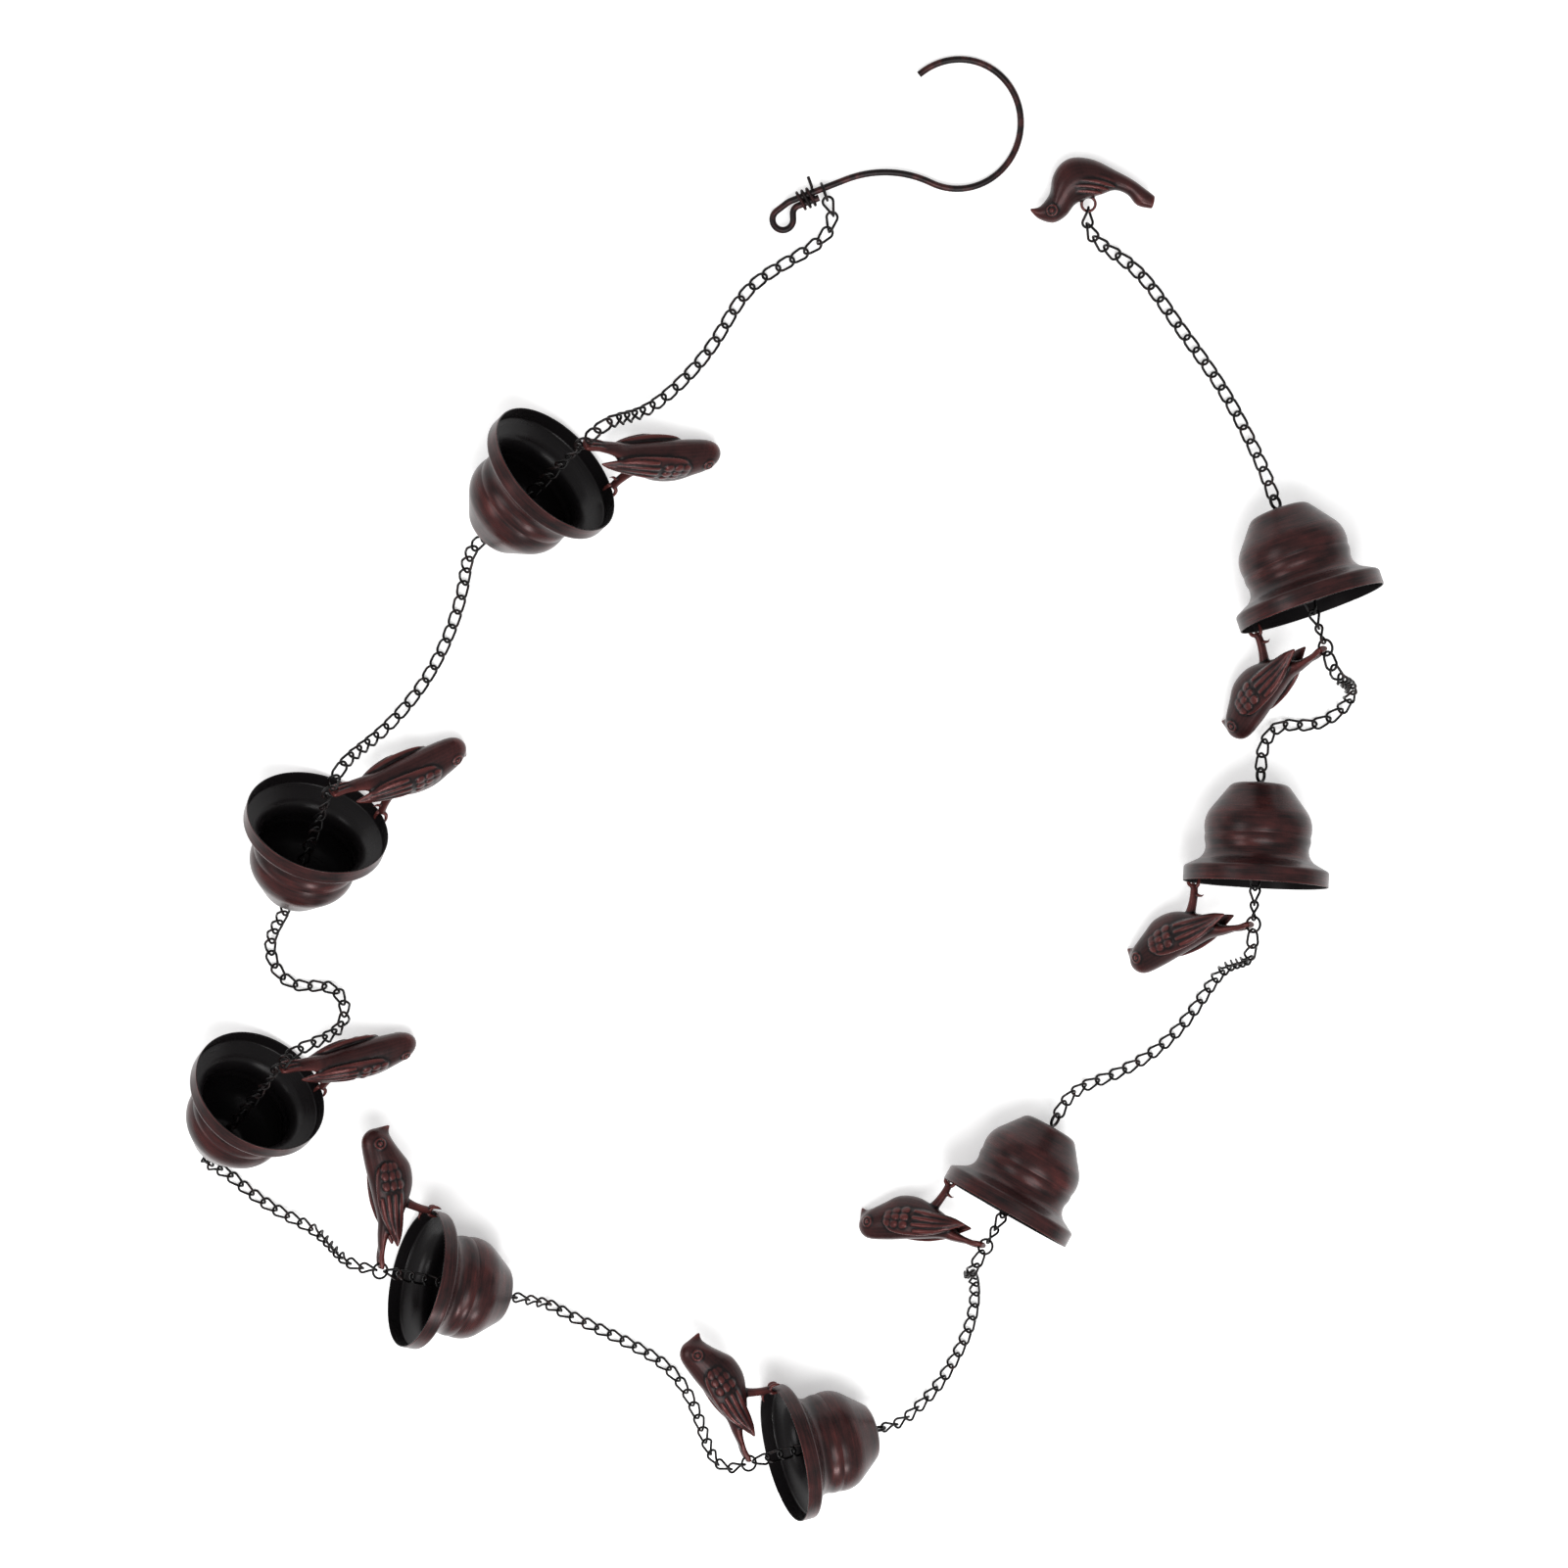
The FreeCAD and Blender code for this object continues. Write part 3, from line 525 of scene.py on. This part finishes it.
end_mesh.transform(Matrix.Translation((loop_spot.x, loop_spot.y + LOOP_DROP, lift)))
end_bird = bpy.data.objects.new("arched_end_bird", end_mesh)
bpy.context.scene.collection.objects.link(end_bird)
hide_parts("end_bird")
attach(end_bird, "end_bird")
print("the end bird has", len(end_mesh.polygons), "faces, solid at", low[:], high[:])

# %% [markdown]
# ## A coat that has been rubbed
#
# Every piece has the same finish: a near-black coat over warm red-brown, wiped by hand, with a satin lacquer
# on top. Each material could hold its own copy, but one node group keeps them alike. It takes a place and a
# number that says how much is rubbed there, and gives back a colour, a roughness and a height.

# %% Node helpers and the rubbed coat
def new_group(name, inputs, outputs):
    """A shader group with its named sockets, and its two end nodes."""
    tree = bpy.data.node_groups.new(name, "ShaderNodeTree")
    for socket, kind in inputs:
        tree.interface.new_socket(socket, in_out="INPUT", socket_type="NodeSocket" + kind)
    for socket, kind in outputs:
        tree.interface.new_socket(socket, in_out="OUTPUT", socket_type="NodeSocket" + kind)
    return tree, tree.nodes.new("NodeGroupInput"), tree.nodes.new("NodeGroupOutput")


def noise(tree, place, scale, detail, roughness=0.55):
    """Soft cloudy noise at so many cells a metre."""
    made = tree.nodes.new("ShaderNodeTexNoise")
    made.inputs["Scale"].default_value = scale
    made.inputs["Detail"].default_value = detail
    made.inputs["Roughness"].default_value = roughness
    tree.links.new(place, made.inputs["Vector"])
    return made.outputs["Fac"]


def spread(tree, value, low, high, to_low=0.0, to_high=1.0):
    """Stretches a value from one range to another, and holds it at the ends."""
    made = tree.nodes.new("ShaderNodeMapRange")
    made.interpolation_type = "SMOOTHSTEP"
    for socket, number in zip(("From Min", "From Max", "To Min", "To Max"), (low, high, to_low, to_high)):
        made.inputs[socket].default_value = number
    tree.links.new(value, made.inputs["Value"])
    return made.outputs["Result"]


def sum_of(tree, operation, first, second):
    """One Math node on two values, each a socket or a number."""
    made = tree.nodes.new("ShaderNodeMath")
    made.operation = operation
    for socket, value in zip(made.inputs, (first, second)):
        if isinstance(value, (int, float)):
            socket.default_value = value
        else:
            tree.links.new(value, socket)
    return made.outputs[0]


def blend_of(tree, share, first, second):
    """A colour between two, each a socket or a plain colour."""
    made = tree.nodes.new("ShaderNodeMix")
    made.data_type = "RGBA"
    tree.links.new(share, made.inputs[0])
    for socket, value in zip((made.inputs[6], made.inputs[7]), (first, second)):
        if isinstance(value, tuple):
            socket.default_value = value
        else:
            tree.links.new(value, socket)
    return made.outputs[2]


coat, given, made = new_group(
    "rubbed_coat",
    (("Place", "Vector"), ("Rubbed", "Float"), ("Dark", "Color"), ("Warm", "Color"), ("Red", "Color")),
    (("Color", "Color"), ("Roughness", "Float"), ("Height", "Float")),
)
clouds = noise(coat, given.outputs["Place"], 70, 4)
specks = noise(coat, given.outputs["Place"], 900, 3, 0.6)
uneven = sum_of(coat, "ADD", given.outputs["Rubbed"], sum_of(coat, "MULTIPLY", clouds, 0.7))
uneven = sum_of(coat, "ADD", uneven, sum_of(coat, "MULTIPLY", specks, 0.25))
warm_share = spread(coat, uneven, 0.62, 1.15)
red_share = spread(coat, uneven, 1.0, 1.5)
shade = blend_of(coat, warm_share, given.outputs["Dark"], given.outputs["Warm"])
coat.links.new(blend_of(coat, red_share, shade, given.outputs["Red"]), made.inputs["Color"])
coat.links.new(spread(coat, uneven, 0.4, 1.5, 0.36, 0.24), made.inputs["Roughness"])
coat.links.new(specks, made.inputs["Height"])
print("made", coat.name)

# %% [markdown]
# ## Streaks from the spinning lathe
#
# The cups were wiped while they turned, so the red shows in thin streaks that run round them. Noise that is
# squeezed along the cup's profile and stretched round it gives that. The profile's own coordinate, height
# plus distance from the axis, keeps the streaks round on the flat base as well. Inside, the coat is nearly
# black, and the way that the sheet faces tells inside from outside.

# %% Streaks and the inside of a cup
streaks, given, made = new_group(
    "lathe_streaks",
    (("Place", "Vector"), ("Facing", "Vector")),
    (("Rubbed", "Float"), ("Inside", "Float"), ("Height", "Float")),
)
parts = streaks.nodes.new("ShaderNodeSeparateXYZ")
streaks.links.new(given.outputs["Place"], parts.inputs[0])
level = streaks.nodes.new("ShaderNodeCombineXYZ")
streaks.links.new(parts.outputs["X"], level.inputs["X"])
streaks.links.new(parts.outputs["Y"], level.inputs["Y"])
distance = streaks.nodes.new("ShaderNodeVectorMath")
distance.operation = "LENGTH"
streaks.links.new(level.outputs[0], distance.inputs[0])
profile = sum_of(streaks, "ADD", parts.outputs["Z"], distance.outputs["Value"])


def round_cup(around, along):
    """Noise with few cells round the cup and many along its profile."""
    spot = streaks.nodes.new("ShaderNodeCombineXYZ")
    streaks.links.new(sum_of(streaks, "MULTIPLY", parts.outputs["X"], around), spot.inputs["X"])
    streaks.links.new(sum_of(streaks, "MULTIPLY", parts.outputs["Y"], around), spot.inputs["Y"])
    streaks.links.new(sum_of(streaks, "MULTIPLY", profile, along), spot.inputs["Z"])
    return noise(streaks, spot.outputs[0], 1, 4, 0.6)


fine = round_cup(40, 900)
broad = round_cup(22, 90)
wiped = sum_of(streaks, "MULTIPLY", sum_of(streaks, "ADD", fine, broad), 0.75)
lip = spread(streaks, parts.outputs["Z"], rim_height - 0.0012, rim_height - 0.0002, 0.0, 0.35)
patchy = spread(streaks, wiped, 0.45, 1.1, 0.2, 0.8)
streaks.links.new(sum_of(streaks, "ADD", patchy, lip), made.inputs["Rubbed"])
streaks.links.new(fine, made.inputs["Height"])
outwards = streaks.nodes.new("ShaderNodeVectorMath")
outwards.operation = "NORMALIZE"
streaks.links.new(level.outputs[0], outwards.inputs[0])
skewed = streaks.nodes.new("ShaderNodeVectorMath")
skewed.operation = "SUBTRACT"
skewed.inputs[1].default_value = (0, 0, 1)
streaks.links.new(outwards.outputs[0], skewed.inputs[0])
facing = streaks.nodes.new("ShaderNodeVectorMath")
facing.operation = "DOT_PRODUCT"
streaks.links.new(skewed.outputs[0], facing.inputs[0])
streaks.links.new(given.outputs["Facing"], facing.inputs[1])
streaks.links.new(spread(streaks, facing.outputs["Value"], -0.15, 0.15, 1.0, 0.0), made.inputs["Inside"])
print("made", streaks.name)

# %% [markdown]
# ## The finishes
#
# One material for each cup, because a Mapping node has to lay the streaks round that cup's own axis. The
# birds read their ridges and grooves from the mesh. Wire and links were dipped and never wiped, so only
# patches of brown show on them.

# %% Build the materials
DARK = (0.0075, 0.0046, 0.005, 1)
WARM = (0.040, 0.0125, 0.0125, 1)
RED = (0.090, 0.0225, 0.0205, 1)


def new_finish(name, dark, warm, red, metal):
    """A material with the rubbed coat on a satin shader. Returns it with its group node."""
    finish = bpy.data.materials.new(name)
    finish.use_nodes = True
    tree = finish.node_tree
    shader = tree.nodes["Principled BSDF"]
    shader.inputs["Metallic"].default_value = metal
    shader.inputs["Specular IOR Level"].default_value = 0.22
    rubbed = tree.nodes.new("ShaderNodeGroup")
    rubbed.node_tree = coat
    for socket, colour in (("Dark", dark), ("Warm", warm), ("Red", red)):
        rubbed.inputs[socket].default_value = colour
    bump = tree.nodes.new("ShaderNodeBump")
    bump.inputs["Strength"].default_value = 0.12
    bump.inputs["Distance"].default_value = 0.0003
    tree.links.new(rubbed.outputs["Height"], bump.inputs["Height"])
    tree.links.new(bump.outputs["Normal"], shader.inputs["Normal"])
    tree.links.new(rubbed.outputs["Color"], shader.inputs["Base Color"])
    tree.links.new(rubbed.outputs["Roughness"], shader.inputs["Roughness"])
    where = tree.nodes.new("ShaderNodeTexCoord")
    tree.links.new(where.outputs["Object"], rubbed.inputs["Place"])
    return finish, rubbed, where


def cup_finish(number):
    """The coat of one cup, its streaks laid round that cup's axis."""
    finish, rubbed, where = new_finish(f"cup_bronze_{number}", DARK, WARM, RED, 0.2)
    tree = finish.node_tree
    wiped = tree.nodes.new("ShaderNodeGroup")
    wiped.node_tree = streaks
    middle = places[number].translation
    for output, socket, shift in (("Object", "Place", middle), ("Normal", "Facing", (0, 0, 0))):
        lay = tree.nodes.new("ShaderNodeMapping")
        lay.vector_type = "TEXTURE"
        lay.inputs["Location"].default_value = shift
        lay.inputs["Rotation"].default_value = places[number].to_euler()
        tree.links.new(where.outputs[output], lay.inputs["Vector"])
        tree.links.new(lay.outputs[0], wiped.inputs[socket])
    tree.links.new(wiped.outputs["Rubbed"], rubbed.inputs["Rubbed"])
    shader = tree.nodes["Principled BSDF"]
    black = (0.0085, 0.0072, 0.0078, 1)
    tree.links.new(
        blend_of(tree, wiped.outputs["Inside"], rubbed.outputs["Color"], black), shader.inputs["Base Color"]
    )
    bump = tree.nodes["Bump"]
    tree.links.new(wiped.outputs["Height"], bump.inputs["Height"])
    return finish


def cast_finish():
    finish, rubbed, _ = new_finish("bird_bronze", DARK, WARM, RED, 0.25)
    tree = finish.node_tree
    relief = tree.nodes.new("ShaderNodeAttribute")
    relief.attribute_name = "relief"
    tree.links.new(spread(tree, relief.outputs["Fac"], 0.1, 0.9, -0.3, 1.0), rubbed.inputs["Rubbed"])
    return finish


def wire_finish(name, dark, warm, red, low, high):
    finish, rubbed, where = new_finish(name, dark, warm, red, 0.3)
    tree = finish.node_tree
    patches = noise(tree, where.outputs["Object"], 130, 2)
    tree.links.new(spread(tree, patches, 0.35, 0.7, low, high), rubbed.inputs["Rubbed"])
    return finish


BLACK = (0.004, 0.0035, 0.0038, 1)
chain_black = wire_finish("chain_black", BLACK, (0.017, 0.0105, 0.0105, 1), (0.05, 0.02, 0.017, 1), 0.0, 0.6)
hook_brown = wire_finish("hook_brown", DARK, WARM, (0.075, 0.026, 0.022, 1), 0.1, 0.7)
cast_bronze = cast_finish()
print(len(bpy.data.materials), "materials")

# %% Dress the solids and the birds
def dress(node, finish):
    solid = frame["nodes"][node]
    if not solid.material_slots:
        solid.data.materials.append(finish)
    for held in solid.material_slots:
        held.material = finish


for number in CUPS:
    dress(f"cup_{number}", cup_finish(number))
for node in frame["nodes"]:
    if node.startswith(("chain_run", "cup_chain", "base_eye", "tail_ring")) or node == "hook_ring":
        dress(node, chain_black)
dress("hook", hook_brown)
dress("hook_tie_wire", hook_brown)
for casting in (*birds, end_bird):
    casting.data.materials.clear()
    casting.data.materials.append(cast_bronze)

# %% [markdown]
# ## Floor, light and camera
#
# The chain was photographed from straight above, a little from the hook's side, on a white sheet that is lit
# from below as well, so the shadows nearly vanish. A small light in front makes the long highlights on the
# cups, and a wide one overhead fills. The camera's lens is long, so the cups near the edge are seen almost
# from above too.

# %% Set the stage
floor_mesh = bpy.data.meshes.new("floor")
ground = bmesh.new()
bmesh.ops.create_grid(ground, x_segments=1, y_segments=1, size=6)
ground.to_mesh(floor_mesh)
ground.free()
floor = bpy.data.objects.new("floor", floor_mesh)
bpy.context.scene.collection.objects.link(floor)
pale = bpy.data.materials.new("pale_floor")
pale.use_nodes = True
matt = pale.node_tree.nodes["Principled BSDF"]
matt.inputs["Base Color"].default_value = (0.9, 0.9, 0.9, 1)
matt.inputs["Roughness"].default_value = 0.9
matt.inputs["Emission Color"].default_value = (1, 1, 1, 1)
matt.inputs["Emission Strength"].default_value = 0.38
floor_mesh.materials.append(pale)


def soft_light(name, at, size, power):
    lamp = bpy.data.lights.new(name, "AREA")
    lamp.shape = "RECTANGLE"
    lamp.size, lamp.size_y = size
    lamp.energy = power
    made = bpy.data.objects.new(name, lamp)
    made.location = at
    made.rotation_euler = (-Vector(at)).to_track_quat("-Z", "Y").to_euler()
    bpy.context.scene.collection.objects.link(made)


soft_light("front_light", (0.6, -1.9, 1.9), (0.7, 0.45), 22)
soft_light("overhead_light", (0.25, -0.5, 2.5), (1.5, 1.3), 36)
soft_light("side_light", (-1.9, 0.3, 1.9), (1.4, 1.0), 16)
world = bpy.data.worlds.new("studio")
world.use_nodes = True
world.node_tree.nodes["Background"].inputs["Color"].default_value = (1, 1, 1, 1)
world.node_tree.nodes["Background"].inputs["Strength"].default_value = 0.55
bpy.context.scene.world = world
bpy.context.scene.view_settings.view_transform = "Standard"

# %% Camera
TILT = math.radians(16)
AWAY = 1.7
AIM = Vector((0.01238, 0.02854, 0))
FOCAL_PIXELS = 2550
PICTURE_PIXELS = 1601
lens = bpy.data.cameras.new("camera")
lens.sensor_width = 36
lens.lens = lens.sensor_width * FOCAL_PIXELS / PICTURE_PIXELS
camera = bpy.data.objects.new("camera", lens)
camera.location = AIM + Vector((0, math.sin(TILT), math.cos(TILT))) * AWAY
camera.rotation_euler = (-TILT, 0, 0)
bpy.context.scene.collection.objects.link(camera)
bpy.context.scene.camera = camera
